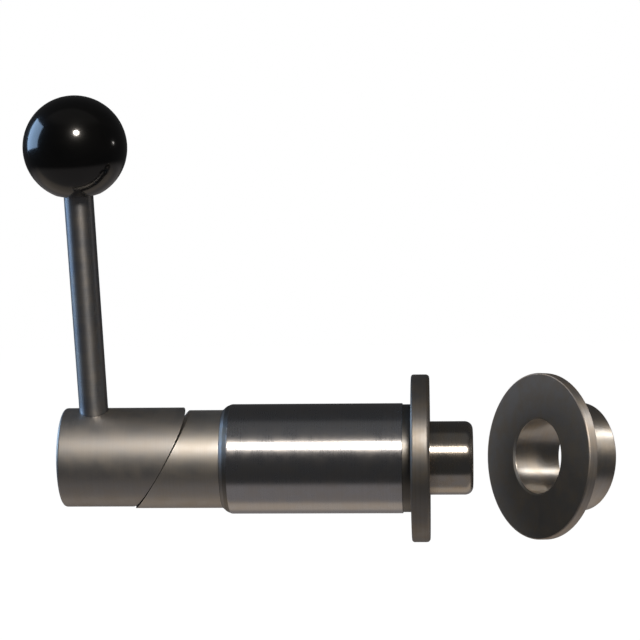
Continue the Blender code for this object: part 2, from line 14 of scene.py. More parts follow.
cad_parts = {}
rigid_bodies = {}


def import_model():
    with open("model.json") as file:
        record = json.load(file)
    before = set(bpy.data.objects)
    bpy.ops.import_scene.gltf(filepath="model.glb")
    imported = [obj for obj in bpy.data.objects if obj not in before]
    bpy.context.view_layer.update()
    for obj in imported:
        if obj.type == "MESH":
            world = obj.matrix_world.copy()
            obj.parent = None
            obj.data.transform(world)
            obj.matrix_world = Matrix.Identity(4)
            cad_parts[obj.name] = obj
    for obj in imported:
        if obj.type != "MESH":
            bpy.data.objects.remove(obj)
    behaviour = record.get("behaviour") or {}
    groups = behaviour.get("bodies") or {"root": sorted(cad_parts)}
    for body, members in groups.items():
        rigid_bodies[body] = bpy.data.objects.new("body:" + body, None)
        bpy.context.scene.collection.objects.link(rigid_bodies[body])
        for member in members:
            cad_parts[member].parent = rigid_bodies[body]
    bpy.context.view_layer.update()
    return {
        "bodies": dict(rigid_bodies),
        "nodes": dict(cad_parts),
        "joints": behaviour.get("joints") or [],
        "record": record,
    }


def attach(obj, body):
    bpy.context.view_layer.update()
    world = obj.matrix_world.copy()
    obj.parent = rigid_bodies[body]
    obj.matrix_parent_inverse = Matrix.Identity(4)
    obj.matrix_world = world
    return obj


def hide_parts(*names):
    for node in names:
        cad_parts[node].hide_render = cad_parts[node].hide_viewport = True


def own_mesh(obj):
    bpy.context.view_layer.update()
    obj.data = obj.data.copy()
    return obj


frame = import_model()

MM = 0.001
GAP = 0.3 * MM
FIT = 0.15 * MM

# the same driving dimensions as the CAD model
BODY_R, BODY_L = 19.05 * MM, 65.5 * MM
FLANGE_R, FLANGE_T = 28.97 * MM, 6.35 * MM
RELIEF_W, RELIEF_DEPTH = 3.0 * MM, 0.4 * MM
CHAMBER_R, BUSH_SEAT_R, SHOULDER_X = 15.7 * MM, 14.7 * MM, -22.0 * MM
PIN_R, PIN_TIP_X, PIN_TIP_EDGE = 12.7 * MM, 21.2 * MM, 2.8 * MM
COLLAR_R, COLLAR_T = 15.4 * MM, 4.0 * MM
POCKET_R, POCKET_X = 10.2 * MM, -8.0 * MM
WIRE_R, COIL_R, COIL_TURNS = 0.8 * MM, 8.6 * MM, 9.5
CAM_R, CAM_MEAN_X, CUT_AMPLITUDE, CAM_HIGH_DEG = 17.05 * MM, -86.65 * MM, 10.27 * MM, 20.15
PLUG_R, PLUG_L, CAM_BORE_R = 15.55 * MM, 8.0 * MM, 9.3 * MM
CAM_SCREW_AZ, CAM_SCREW_R, CAM_SCREW_X = (-62.0, -151.0), 2.4 * MM, -61.0 * MM
CAP_R, CAP_REAR_X, CAP_EDGE, CAP_LAG_DEG = 17.25 * MM, -121.3 * MM, 1.1 * MM, 9.15
CAP_BORE_R, CAP_RECESS_R, CAP_RECESS_X = 8.3 * MM, 9.5 * MM, -112.8 * MM
CAP_OFFSET_Z = 0.77 * MM
STEM_R, STEM_END_X = 5.55 * MM, -114.1 * MM
LEVER_X, LEVER_LEAN_DEG, LEVER_TILT_DEG = -110.12 * MM, 14.5, 0.7
ROD_R, ROD_FOOT = 5.0 * MM, 11.3 * MM
BALL_R, BALL_H, BALL_FLAT_R = 17.45 * MM, 110.3 * MM, 7.6 * MM
REC_BORE_R, REC_LEAD, REC_FLANGE_R = 12.95 * MM, 0.7 * MM, 28.97 * MM
REC_FLANGE_T, REC_L, REC_BARREL_R = 3.65 * MM, 20.3 * MM, 19.05 * MM
REC_FACE = Vector((43.37, 5.89, 0.06)) * MM
REC_YAW_DEG, REC_DROP_DEG = 34.7, 3.1
CUT_SLOPE = CUT_AMPLITUDE / CAM_R
CAP_MEAN_X = CAM_MEAN_X - 2 * CUT_AMPLITUDE * math.sin(math.radians(CAP_LAG_DEG) / 2) - GAP
CUT_ZONE = 1.0               # profile points near x = 1 m lie on the oblique cut


# ------------------------------------------------------------------ shader helpers
class Graph:
    """A small wrapper that adds nodes to a material and links them by name."""

    def __init__(self, name):
        self.mat = bpy.data.materials.new(name)
        self.mat.use_nodes = True
        self.tree = self.mat.node_tree
        self.tree.nodes.clear()
        self.out = self.node("ShaderNodeOutputMaterial")

    def node(self, kind, inputs=None, **props):
        made = self.tree.nodes.new(kind)
        for key, value in props.items():
            setattr(made, key, value)
        for key, value in (inputs or {}).items():
            self.put(made.inputs[key], value)
        return made

    def put(self, socket, value):
        if isinstance(value, bpy.types.NodeSocket):
            self.tree.links.new(value, socket)
        elif hasattr(value, "outputs"):
            self.tree.links.new(value.outputs[0], socket)
        elif isinstance(value, tuple) and socket.type == "RGBA" and len(value) == 3:
            socket.default_value = (*value, 1.0)
        else:
            socket.default_value = value

    def math(self, operation, a, b=0.0, clamp=False):
        return self.node("ShaderNodeMath", {0: a, 1: b}, operation=operation, use_clamp=clamp).outputs[0]

    def ramp(self, value, low, high, out_low=0.0, out_high=1.0, smooth=True):
        made = self.node(
            "ShaderNodeMapRange",
            {"Value": value, "From Min": low, "From Max": high, "To Min": out_low, "To Max": out_high},
            interpolation_type="SMOOTHSTEP" if smooth else "LINEAR",
        )
        return made.outputs["Result"]

    def mix(self, factor, a, b, mode="MIX"):
        made = self.node("ShaderNodeMix", data_type="RGBA", blend_type=mode)
        self.put(made.inputs[0], factor)
        self.put(made.inputs[6], a)
        self.put(made.inputs[7], b)
        return made.outputs[2]

    def scaled(self, vector, scale):
        made = self.node("ShaderNodeVectorMath", operation="MULTIPLY")
        self.put(made.inputs[0], vector)
        made.inputs[1].default_value = scale
        return made.outputs[0]

    def from_origin(self, coords, frame):
        made = self.node("ShaderNodeVectorMath", operation="SUBTRACT")
        self.put(made.inputs[0], coords)
        made.inputs[1].default_value = frame.translation
        return made.outputs[0]

    def in_frame(self, coords, frame):
        """Object coordinates as read in a turned frame that is fixed to the piece."""
        offset = self.from_origin(coords, frame)
        parts = {}
        for k in range(3):
            dot = self.node("ShaderNodeVectorMath", operation="DOT_PRODUCT")
            self.put(dot.inputs[0], offset)
            dot.inputs[1].default_value = frame.to_3x3().col[k]
            parts[k] = dot.outputs["Value"]
        return self.node("ShaderNodeCombineXYZ", parts).outputs[0]

    def round_tangent(self, coords, frame):
        """The direction round a turned frame's X axis, for the brushed highlight."""
        cross = self.node("ShaderNodeVectorMath", operation="CROSS_PRODUCT")
        cross.inputs[0].default_value = frame.to_3x3().col[0]
        self.put(cross.inputs[1], self.from_origin(coords, frame))
        world = self.node(
            "ShaderNodeVectorTransform", vector_type="VECTOR",
            convert_from="OBJECT", convert_to="WORLD",
        )
        self.put(world.inputs[0], cross.outputs[0])
        unit = self.node("ShaderNodeVectorMath", operation="NORMALIZE")
        self.put(unit.inputs[0], world.outputs[0])
        return unit

    def noise(self, vector, scale, detail=3.0, rough=0.55, distortion=0.0):
        made = self.node(
            "ShaderNodeTexNoise",
            {"Vector": vector, "Scale": scale, "Detail": detail, "Roughness": rough, "Distortion": distortion},
        )
        return made.outputs[0]


def steel(
    name,
    colour,
    roughness,
    anisotropy,
    line_pitch=0.12,
    line_depth=0.4,
    wave_depth=0.0,
    wave_length=6.0,
    mottling=0.06,
    colour_shift=(1.0, 0.96, 0.9),
    edge_wear=0.25,
    along=False,
    speck=0.0,
    rotation=0.25,
    metallic=1.0,
    drift=1.0,
    frame=None,
):
    """Machined metal. line_pitch and wave_length in mm are those of the fine tool lines
    and of the slow waviness along the piece's own X axis; depths in microns."""
    g = Graph(name)
    own = coords = g.node("ShaderNodeTexCoord").outputs["Object"]
    if frame is not None:
        coords = g.in_frame(own, frame)
    # tool lines: noise that is fine along X and long round the piece, or the reverse
    if along:
        fine = g.scaled(coords, (40.0, 1000.0 / line_pitch, 1000.0 / line_pitch))
        slow = g.scaled(coords, (60.0, 1000.0 / wave_length, 1000.0 / wave_length))
    else:
        fine = g.scaled(coords, (1000.0 / line_pitch, 45.0, 45.0))
        slow = g.scaled(coords, (1000.0 / wave_length, 30.0, 30.0))
    lines = g.noise(fine, 1.0, 4.0, 0.65)
    coarse_lines = g.noise(g.scaled(fine, (0.23, 0.23, 0.23)), 1.0, 3.0, 0.6)
    waves = g.noise(slow, 1.0, 2.0, 0.5)
    patches = g.noise(coords, 170.0, 4.0, 0.6)
    grain = g.noise(coords, 5200.0, 2.0, 0.6)
    # colour: warm and cool drift, tool lines and a little oxide bloom
    cool = tuple(c * (1 + drift * (k - 1)) for c, k in zip(colour, (0.95, 0.98, 1.03)))
    warm = tuple(c * (1 + drift * (k - 1)) for c, k in zip(colour, colour_shift))
    tint = g.mix(g.ramp(patches, 0.35, 0.68), cool, warm)
    streak = g.ramp(coarse_lines, 0.3, 0.72, 1.0 - mottling, 1.0 + mottling, smooth=False)
    shade = g.node("ShaderNodeMix", data_type="RGBA", blend_type="MULTIPLY")
    g.put(shade.inputs[0], 1.0)
    g.put(shade.inputs[6], tint)
    grey = g.node("ShaderNodeCombineColor", {0: streak, 1: streak, 2: streak})
    g.put(shade.inputs[7], grey.outputs[0])
    base = shade.outputs[2]
    # worn, brighter edges, from the bevelled normal against the true normal
    geometry = g.node("ShaderNodeNewGeometry")
    bevel = g.node("ShaderNodeBevel", {"Radius": 0.00035}, samples=4)
    dot = g.node("ShaderNodeVectorMath", operation="DOT_PRODUCT")
    g.put(dot.inputs[0], bevel.outputs[0])
    g.put(dot.inputs[1], geometry.outputs["Normal"])
    edge = g.ramp(dot.outputs["Value"], 0.995, 0.86)
    wear = g.math("MULTIPLY", edge, g.ramp(g.noise(coords, 900.0, 3.0), 0.35, 0.7, 0.3, 1.0))
    bright = tuple(min(1.0, c * 1.45 + 0.05) for c in colour)
    base = g.mix(g.math("MULTIPLY", wear, edge_wear), base, bright)
    if speck:
        pits = g.ramp(g.noise(coords, 1500.0, 2.0, 0.7), 0.69, 0.76)
        base = g.mix(g.math("MULTIPLY", pits, speck), base, tuple(c * 0.45 for c in colour))
    rough = g.math("ADD", roughness, g.ramp(lines, 0.25, 0.75, -0.035, 0.04, smooth=False))
    rough = g.math("ADD", rough, g.ramp(patches, 0.3, 0.75, -0.03, 0.04))
    rough = g.math("SUBTRACT", rough, g.math("MULTIPLY", wear, 0.08), clamp=True)
    height = g.math("MULTIPLY", lines, line_depth)
    height = g.math("ADD", height, g.math("MULTIPLY", coarse_lines, line_depth * 1.6))
    height = g.math("ADD", height, g.math("MULTIPLY", grain, line_depth * 0.35))
    bump = g.node("ShaderNodeBump", {"Height": height, "Strength": 1.0, "Distance": 1e-6})
    if wave_depth:
        slow_height = g.math("MULTIPLY", waves, wave_depth)
        bump = g.node(
            "ShaderNodeBump",
            {"Height": slow_height, "Strength": 1.0, "Distance": 1e-6, "Normal": bump.outputs[0]},
        )
    if frame is None:
        tangent = g.node("ShaderNodeTangent", direction_type="RADIAL", axis="X")
    else:
        tangent = g.round_tangent(own, frame)
    shader = g.node(
        "ShaderNodeBsdfPrincipled",
        {
            "Base Color": base,
            "Metallic": metallic,
            "Roughness": rough,
            "Anisotropic": anisotropy,
            "Anisotropic Rotation": rotation,
            "Normal": bump.outputs[0],
            "Tangent": tangent.outputs[0],
        },
    )
    g.put(g.out.inputs["Surface"], shader.outputs[0])
    g.mat.diffuse_color = (*colour, 1.0)
    g.mat.metallic = 1.0
    g.mat.roughness = roughness
    return g.mat


def phenolic(name):
    """Polished black phenolic: deep black, a clear gloss, faint flow and fine hazing."""
    g = Graph(name)
    coords = g.node("ShaderNodeTexCoord").outputs["Object"]
    flow = g.noise(g.scaled(coords, (60.0, 110.0, 110.0)), 1.0, 4.0, 0.6, 1.2)
    haze = g.noise(coords, 900.0, 4.0, 0.7)
    scratch = g.noise(g.scaled(coords, (2600.0, 220.0, 220.0)), 1.0, 2.0, 0.5)
    base = g.mix(g.ramp(flow, 0.35, 0.7), (0.0010, 0.0010, 0.0010), (0.0022, 0.0021, 0.0020))
    rough = g.math("ADD", 0.10, g.ramp(haze, 0.45, 0.8, 0.0, 0.05))
    rough = g.math("ADD", rough, g.ramp(scratch, 0.6, 0.75, 0.0, 0.03))
    height = g.math("ADD", g.math("MULTIPLY", haze, 0.25), g.math("MULTIPLY", scratch, 0.12))
    height = g.math("ADD", height, g.math("MULTIPLY", flow, 3.0))
    bump = g.node("ShaderNodeBump", {"Height": height, "Strength": 1.0, "Distance": 1e-6})
    shader = g.node(
        "ShaderNodeBsdfPrincipled",
        {
            "Base Color": base,
            "Roughness": rough,
            "IOR": 1.5,
            "Coat Weight": 0.16,
            "Coat Roughness": 0.30,
            "Normal": bump.outputs[0],
        },
    )
    g.put(g.out.inputs["Surface"], shader.outputs[0])
    g.mat.diffuse_color = (0.01, 0.01, 0.01, 1.0)
    return g.mat


def plain_stage(name, colour, glow, diffuse=0.0):
    g = Graph(name)
    soft = g.node("ShaderNodeBsdfDiffuse", {"Color": tuple(c * diffuse for c in colour)})
    light = g.node("ShaderNodeEmission", {"Color": colour, "Strength": glow})
    both = g.node("ShaderNodeAddShader", {0: soft.outputs[0], 1: light.outputs[0]})
    g.put(g.out.inputs["Surface"], both.outputs[0])
    return g.mat


# ------------------------------------------------------------------ mesh helpers
def rounded(corners, steps=5):
    """A closed (x, r) profile from corners (x, r, fillet radius)."""
    out = []
    count = len(corners)
    for k in range(count):
        x, r, f = corners[k] if len(corners[k]) == 3 else (*corners[k], 0.0)
        if f <= 0.0:
            out.append((x, r))
            continue
        here = Vector((x, r))
        before = Vector(corners[k - 1][:2]) - here
        after = Vector(corners[(k + 1) % count][:2]) - here
        half = before.angle(after) / 2
        reach = min(f / math.tan(half), before.length * 0.49, after.length * 0.49)
        radius = reach * math.tan(half)
        centre = here + (before.normalized() + after.normalized()).normalized() * (
            radius / math.sin(half)
        )
        start = here + before.normalized() * reach - centre
        end = here + after.normalized() * reach - centre
        sweep = start.angle_signed(end)
        for i in range(steps + 1):
            a = -sweep * i / steps
            spin = Matrix.Rotation(a, 2)
            out.append(tuple(centre + spin @ start))
    return out


def spaced(profile, longest):
    """The same profile with extra points on long straight runs."""
    out = []
    for (x0, r0), (x1, r1) in zip(profile, profile[1:] + profile[:1]):
        out.append((x0, r0))
        if abs(x1 - x0) > 0.3:       # a run to the oblique cut is spaced after the shear
            continue
        steps = int(math.hypot(x1 - x0, r1 - r0) / longest)
        for i in range(1, steps + 1):
            t = i / (steps + 1)
            out.append((x0 + (x1 - x0) * t, r0 + (r1 - r0) * t))
    return out


def lathe(profile, sides=256, slots=None, cut=None, radius_at=None, lift=None):
    """A closed turned solid round X. slots(x, r) gives a face's material index, cut is
    (mean x, phase) of the oblique plane for points in the CUT_ZONE, and radius_at(x, r,
    angle) may change a point's radius, for knurls and sockets. lift = (radius, dz) moves
    the points outside that radius up by dz."""
    bm = bmesh.new()
    rings = []
    count = len(profile)
    for x, r in profile:
        if r <= 1e-9:
            rings.append([bm.verts.new((x, 0.0, 0.0))])
            continue
        ring = []
        for i in range(sides):
            a = 2.0 * math.pi * i / sides
            rr = radius_at(x, r, a) if radius_at else r
            y, z = rr * math.cos(a), rr * math.sin(a)
            if lift and rr > lift[0]:
                z += lift[1]
            xx = x
            if cut and abs(x - CUT_ZONE) < 0.3:
                turn = math.atan2(-y, z) - math.radians(cut[1])
                xx = cut[0] + (x - CUT_ZONE) + CUT_SLOPE * math.hypot(y, z) * math.cos(turn)
            ring.append(bm.verts.new((xx, y, z)))
        rings.append(ring)
    for k in range(count):
        a, b = rings[k], rings[(k + 1) % count]
        if len(a) == 1 and len(b) == 1:
            continue
        (x0, r0), (x1, r1) = profile[k], profile[(k + 1) % count]
        index = slots((x0 + x1) / 2, (r0 + r1) / 2) if slots else 0
        for i in range(sides):
            j = (i + 1) % sides
            if len(a) == 1:
                face = bm.faces.new((a[0], b[j], b[i]))
            elif len(b) == 1:
                face = bm.faces.new((a[i], a[j], b[0]))
            else:
                face = bm.faces.new((a[i], a[j], b[j], b[i]))
            face.material_index = index
    if cut:
        # rings between the oblique cut and the straight end, so that faces stay short
        long_edges = [
            e for e in bm.edges if abs(e.verts[0].co.x - e.verts[1].co.x) > 8 * MM
            and (e.verts[0].co.yz - e.verts[1].co.yz).length < 1e-5
        ]
        if long_edges:
            bmesh.ops.subdivide_edges(bm, edges=long_edges, cuts=7, use_grid_fill=True)
    bmesh.ops.recalc_face_normals(bm, faces=bm.faces)
    return bm


def make(
    name, bm, mats, body, nodes, matrix=None, sharp=38.0, cutters=(), weighted=True, bake=False
):
    if bake:                      # the shape is turned in its mesh, so its box stays tight
        bm.transform(matrix)
        matrix = None
    mesh = bpy.data.meshes.new(name)
    bm.to_mesh(mesh)
    bm.free()
    for mat in mats if isinstance(mats, (list, tuple)) else [mats]:
        mesh.materials.append(mat)
    mesh.shade_smooth()
    mesh.set_sharp_from_angle(angle=math.radians(sharp))
    obj = bpy.data.objects.new(name, mesh)
    bpy.context.scene.collection.objects.link(obj)
    if matrix is not None:
        obj.matrix_world = matrix
    for cutter in cutters:
        modifier = obj.modifiers.new("hole", "BOOLEAN")
        modifier.operation = "DIFFERENCE"
        modifier.solver = "EXACT"
        modifier.object = cutter
    if cutters:
        bpy.context.view_layer.update()
        depsgraph = bpy.context.evaluated_depsgraph_get()
        done = bpy.data.meshes.new_from_object(obj.evaluated_get(depsgraph))
        obj.modifiers.clear()
        obj.data = done
        done.name = name
        done.shade_smooth()
        done.set_sharp_from_angle(angle=math.radians(sharp))
    if weighted:
        modifier = obj.modifiers.new("face_weighted_normals", "WEIGHTED_NORMAL")
        modifier.keep_sharp = True
        modifier.weight = 80
    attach(obj, body)
    if nodes:
        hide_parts(*nodes)
    return obj


def radial_matrix(x, azimuth_deg):
    """A frame whose +X points outwards, square to the plunger's axis."""
    a = math.radians(azimuth_deg)
    outward = Vector((0.0, -math.sin(a), math.cos(a)))
    side = Vector((1.0, 0.0, 0.0))
    third = outward.cross(side)
    rot = Matrix((outward, side, third)).transposed().to_4x4()
    return Matrix.Translation(Vector((x, 0.0, 0.0))) @ rot


def lever_matrix():
    tilt = Matrix.Rotation(-math.radians(LEVER_TILT_DEG), 4, "Z")
    return radial_matrix(LEVER_X, LEVER_LEAN_DEG) @ tilt


def receiver_matrix():
    yaw, drop = math.radians(REC_YAW_DEG), math.radians(REC_DROP_DEG)
    along = Vector(
        (math.cos(yaw) * math.cos(drop), math.sin(yaw) * math.cos(drop), -math.sin(drop))
    )
    side = Vector((0.0, 0.0, 1.0)).cross(along).normalized()
    up = along.cross(side)
    rot = Matrix((along, side, up)).transposed().to_4x4()
    return Matrix.Translation(REC_FACE) @ rot


def cutter(name, profile, matrix, sides=64):
    bm = lathe(profile, sides)
    mesh = bpy.data.meshes.new(name)
    bm.to_mesh(mesh)
    bm.free()
    obj = bpy.data.objects.new(name, mesh)
    bpy.context.scene.collection.objects.link(obj)
    obj.matrix_world = matrix
    bpy.context.view_layer.update()
    return obj


def drop(*objs):
    for obj in objs:
        bpy.data.objects.remove(obj, do_unlink=True)


def hexagon(radius_list):
    """radius_at for lathe(): the listed radii become a hexagon's across-flats radius."""

    def shape(x, r, a):
        if any(abs(r - k) < 1e-7 for k in radius_list):
            b = (a + math.pi / 6) % (math.pi / 3) - math.pi / 6
            return r / math.cos(b)
        return r

    return shape


# ------------------------------------------------------------------ materials
ground = steel(
    "ground_steel", (0.53, 0.52, 0.52), 0.295, 0.80, line_pitch=0.09, line_depth=0.05,
    wave_depth=6.5, wave_length=5.0, mottling=0.04, edge_wear=0.2, drift=0.5,
)
relief = steel(
    "turned_relief", (0.235, 0.222, 0.203), 0.45, 0.5, line_pitch=0.25, line_depth=0.5, mottling=0.1,
)
flange_steel = steel(
    "flange_steel", (0.245, 0.228, 0.207), 0.475, 0.35, line_pitch=0.16, line_depth=0.25,
    mottling=0.07, edge_wear=0.5, speck=0.15, metallic=0.91,
)
polished = steel(
    "polished_steel", (0.50, 0.465, 0.42), 0.255, 0.80, line_pitch=0.07, line_depth=0.015,
    wave_depth=0.6, wave_length=4.0, mottling=0.03, edge_wear=0.2,
)
turned = steel(
    "turned_steel", (0.49, 0.465, 0.43), 0.48, 0.25, line_pitch=0.10, line_depth=0.22,
    mottling=0.03, edge_wear=0.45, speck=0.08, drift=0.5, metallic=0.985,
)
turned_cap = steel(
    "turned_steel_cap", (0.40, 0.382, 0.362), 0.45, 0.1, line_pitch=0.10, line_depth=0.25,
    mottling=0.035, edge_wear=0.45, speck=0.12, drift=0.5, rotation=0.0, metallic=0.99,
)
bore_steel = steel(
    "bored_steel", (0.34, 0.33, 0.32), 0.5, 0.5, line_pitch=0.3, line_depth=0.8, mottling=0.12,
)
rod_steel = steel(
    "rod_steel", (0.36, 0.36, 0.365), 0.42, 0.6, line_pitch=0.12, line_depth=0.15,
    mottling=0.08, edge_wear=0.3, speck=0.2,
)
black_oxide = steel(
    "black_oxide", (0.085, 0.085, 0.09), 0.42, 0.2, line_pitch=0.2, line_depth=0.3,
    mottling=0.12, edge_wear=0.9, speck=0.3,
)
spring_wire = steel(
    "spring_wire", (0.26, 0.26, 0.28), 0.34, 0.3, line_pitch=0.3, line_depth=0.3, mottling=0.1,
)
bronze = steel(
    "bearing_bronze", (0.56, 0.37, 0.19), 0.4, 0.4, line_pitch=0.2, line_depth=0.4,
    mottling=0.1, colour_shift=(1.05, 0.95, 0.85), speck=0.5,
)
brass = steel(
    "machined_brass", (0.72, 0.54, 0.26), 0.36, 0.4, line_pitch=0.2, line_depth=0.4, mottling=0.08,
)
receiver_face = steel(
    "receiver_face_steel", (0.205, 0.205, 0.203), 0.60, 0.15, line_pitch=0.22, line_depth=0.4,
    mottling=0.09, edge_wear=0.5, speck=0.3, metallic=0.95, frame=receiver_matrix(),
)
receiver_bright = steel(
    "receiver_bright_steel", (0.6, 0.56, 0.51), 0.4, 0.75, line_pitch=0.12, line_depth=0.08,
    wave_depth=2.0, wave_length=4.0, mottling=0.05, edge_wear=0.2, frame=receiver_matrix(),
)
receiver_rim = steel(
    "receiver_rim_steel", (0.5, 0.46, 0.42), 0.52, 0.5, line_pitch=0.16, line_depth=0.3,
    mottling=0.07, edge_wear=0.4, frame=receiver_matrix(),
)
knob_black = phenolic("black_phenolic")


# ------------------------------------------------------------------ housing
def build_housing():
    rear = -BODY_L
    corners = [
        (rear, CHAMBER_R, 0.35 * MM),
        (rear, BODY_R - 1.9 * MM, 0.5 * MM),
        (rear + 1.35 * MM, BODY_R - 0.72 * MM, 1.2 * MM),
        (rear + 3.0 * MM, BODY_R, 1.5 * MM),
        (-RELIEF_W, BODY_R, 0.15 * MM),
        (-RELIEF_W, BODY_R - RELIEF_DEPTH, 0.1 * MM),
        (0.0, BODY_R - RELIEF_DEPTH, 0.35 * MM),
        (0.0, FLANGE_R, 0.9 * MM),
        (FLANGE_T, FLANGE_R, 1.25 * MM),
        (FLANGE_T, BUSH_SEAT_R, 0.2 * MM),
        (SHOULDER_X, BUSH_SEAT_R, 0.0),
        (SHOULDER_X, CHAMBER_R, 0.0),
    ]

    def slots(x, r):
        if r < BODY_R - RELIEF_DEPTH - 0.6 * MM and x > rear + 0.5 * MM and x < FLANGE_T - 0.3 * MM:
            return 3                      # bores
        if x < rear + 2.5 * MM:
            return 1                      # turned end and chamfer, not ground
        if x > -0.12 * MM:
            return 2                      # flange
        if x > -RELIEF_W - 0.05 * MM:
            return 1                      # relief
        return 0

    bm = lathe(spaced(rounded(corners, 6), 2.4 * MM), 320, slots)
    holes = [
        cutter(
            f"cut_{k}",
            [
                (11.4 * MM, 0.0),
                (11.4 * MM, CAM_SCREW_R),
                (BODY_R - 0.55 * MM, CAM_SCREW_R),
                (BODY_R + 0.15 * MM, CAM_SCREW_R + 0.7 * MM),
                (22.0 * MM, CAM_SCREW_R + 0.7 * MM),
                (22.0 * MM, 0.0),
            ],
            radial_matrix(CAM_SCREW_X, azimuth),
        )
        for k, azimuth in enumerate(CAM_SCREW_AZ)
    ]
    make(
        "housing_body_finished", bm, [ground, relief, flange_steel, bore_steel], "housing",
        ["housing_body"], cutters=holes,
    )
    drop(*holes)


def build_pin_bush():
    outer, inner = BUSH_SEAT_R - FIT, PIN_R + FIT
    front, rear = FLANGE_T - 0.1 * MM, SHOULDER_X
    corners = [
        (rear, inner, 0.3 * MM),
        (rear, outer, 0.4 * MM),
        (front, outer, 0.25 * MM),
        (front, inner, 0.3 * MM),
    ]
    bm = lathe(spaced(rounded(corners, 4), 3 * MM), 256)
    make("pin_guide_bush_finished", bm, bronze, "housing", ["pin_guide_bush"])


def build_pin():
    collar_front = SHOULDER_X - GAP
    rear = collar_front - COLLAR_T
    stud = STEM_R + FIT
    corners = [
        (rear, POCKET_R, 0.4 * MM),
        (rear, COLLAR_R, 0.5 * MM),
        (collar_front, COLLAR_R, 0.3 * MM),
        (collar_front, PIN_R, 0.0),
        (PIN_TIP_X, PIN_R, PIN_TIP_EDGE),
        (PIN_TIP_X, 0.0, 0.0),
        (9.0 * MM, 0.0, 0.0),
        (9.0 * MM, stud, 0.0),
        (POCKET_X, stud, 0.3 * MM),
        (POCKET_X, POCKET_R, 0.5 * MM),
    ]
    bm = lathe(spaced(rounded(corners, 10), 2.4 * MM), 288)
    hole = cutter(
        "cut_pin",
        [(-20 * MM, 0.0), (-20 * MM, 2.05 * MM), (20 * MM, 2.05 * MM), (20 * MM, 0.0)],
        radial_matrix(-3.0 * MM, 0.0),
    )
    make(
        "plunger_pin_finished", bm, polished, "plunger", ["plunger_pin"],
        cutters=[hole],
    )
    drop(hole)


def build_stem():
    thread = 3.15 * MM
    corners = [
        (STEM_END_X, thread, 0.2 * MM),
        (STEM_END_X, STEM_R, 0.6 * MM),
        (8.7 * MM, STEM_R, 0.5 * MM),
        (8.7 * MM, 0.0, 0.0),
        (STEM_END_X + 17.0 * MM, 0.0, 0.0),
        (STEM_END_X + 16.0 * MM, thread, 0.0),
    ]
    bm = lathe(spaced(rounded(corners, 5), 3.5 * MM), 128)
    hole = cutter(
        "cut_stem",
        [(-20 * MM, 0.0), (-20 * MM, 2.05 * MM), (20 * MM, 2.05 * MM), (20 * MM, 0.0)],
        radial_matrix(-3.0 * MM, 0.0),
    )
    make(
        "plunger_stem_finished", bm, polished, "plunger", ["plunger_stem"],
        cutters=[hole],
    )
    drop(hole)


# ------------------------------------------------------------------ cam and cap
def build_fixed_cam():
    front = -BODY_L
    corners = [
        (CUT_ZONE, CAM_BORE_R, 0.25 * MM),
        (CUT_ZONE, CAM_R, 0.25 * MM),
        (front - GAP, CAM_R, 0.25 * MM),
        (front - GAP, PLUG_R, 0.0),
        (front + PLUG_L, PLUG_R, 0.4 * MM),
        (front + PLUG_L, CAM_BORE_R, 0.3 * MM),
    ]
    bm = lathe(
        spaced(rounded(corners, 4), 2.4 * MM), 288, cut=(CAM_MEAN_X, CAM_HIGH_DEG),
        slots=lambda x, r: 1 if r < CAM_BORE_R + 0.1 * MM else 0,
    )
    holes = [
        cutter(
            f"cut_{k}",
            [(13 * MM, 0.0), (13 * MM, CAM_SCREW_R), (20 * MM, CAM_SCREW_R), (20 * MM, 0.0)],
            radial_matrix(CAM_SCREW_X, azimuth),
        )
        for k, azimuth in enumerate(CAM_SCREW_AZ)
    ]
    make(
        "fixed_cam_finished", bm, [turned, bore_steel], "housing", ["fixed_cam"],
        cutters=holes,
    )
    drop(*holes)


def build_cap():
    corners = [
        (CAP_REAR_X, CAP_RECESS_R, 0.4 * MM),
        (CAP_REAR_X, CAP_R, CAP_EDGE),
        (CUT_ZONE, CAP_R, 0.3 * MM),
        (CUT_ZONE, CAP_BORE_R, 0.25 * MM),
        (CAP_RECESS_X, CAP_BORE_R, 0.2 * MM),
        (CAP_RECESS_X, CAP_RECESS_R, 0.0),
    ]
    bm = lathe(
        spaced(rounded(corners, 6), 2.4 * MM), 288,
        cut=(CAP_MEAN_X, CAM_HIGH_DEG + CAP_LAG_DEG), lift=(12.0 * MM, CAP_OFFSET_Z),
        slots=lambda x, r: 1 if r < CAP_RECESS_R + 0.1 * MM and x > CAP_REAR_X + 0.6 * MM else 0,
    )
    hole = cutter(
        "cut_lever",
        [
            (ROD_FOOT - GAP, 0.0),
            (ROD_FOOT - GAP, ROD_R + FIT),
            (24 * MM, ROD_R + FIT),
            (24 * MM, 0.0),
        ],
        lever_matrix(),
        96,
    )
    make(
        "cam_cap_finished", bm, [turned_cap, bore_steel], "cam_handle", ["cam_cap"],
        cutters=[hole],
    )
    drop(hole)


